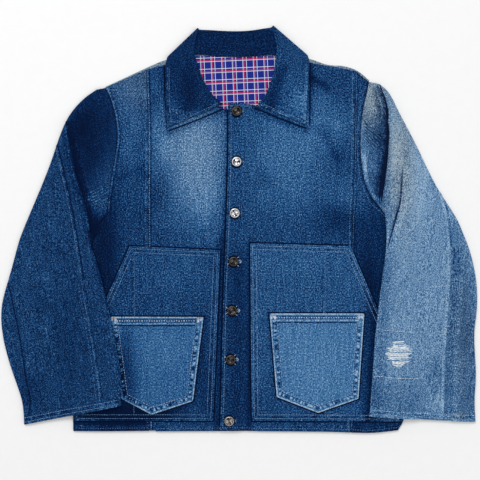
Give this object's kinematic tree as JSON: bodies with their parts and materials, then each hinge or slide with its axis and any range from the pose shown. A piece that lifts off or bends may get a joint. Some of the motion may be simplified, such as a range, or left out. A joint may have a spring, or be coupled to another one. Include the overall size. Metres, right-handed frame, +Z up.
{
  "type": "patched denim work jacket",
  "caption": "Denim work jacket laid flat face up, pieced from faded panels, with slanted patch pockets under jeans pockets, a pointed collar, a checked lining and metal shank buttons.",
  "frame": {"origin": "on the surface that the jacket lies on, under the middle of its outline", "axes": "+Z up off the surface, +Y towards the neck, +X towards the wearer's left sleeve, across the longest extent"},
  "size_m": [0.8088, 0.6918, 0.0188],
  "materials": {
    "navy_denim": "dark washed denim twill",
    "indigo_denim": "worn indigo denim twill",
    "faded_denim": "strongly faded denim twill",
    "slate_denim": "greyish faded denim twill",
    "pocket_denim": "light blue denim twill with worn edges",
    "check_lining": "soft checked cotton",
    "button_steel": "dull tarnished metal"
  },
  "bodies": {
    "root": {"back": "slate_denim", "lining": "check_lining", "front_right_centre": "faded_denim", "front_right_side": "indigo_denim", "front_left_centre": "indigo_denim", "front_left_side": "indigo_denim", "sleeve_right_top": "navy_denim", "sleeve_right_under": "navy_denim", "sleeve_left_top": "slate_denim", "sleeve_left_under": "slate_denim", "collar_leaf": "navy_denim", "collar_band": "navy_denim", "pocket_right": "indigo_denim", "pocket_left": "indigo_denim", "jeans_pocket_right": "pocket_denim", "jeans_pocket_left": "pocket_denim", "button_1": "button_steel", "button_2": "button_steel", "button_3": "button_steel", "button_4": "button_steel", "button_5": "button_steel", "button_6": "button_steel", "button_7": "button_steel"}
  },
  "joints": []
}
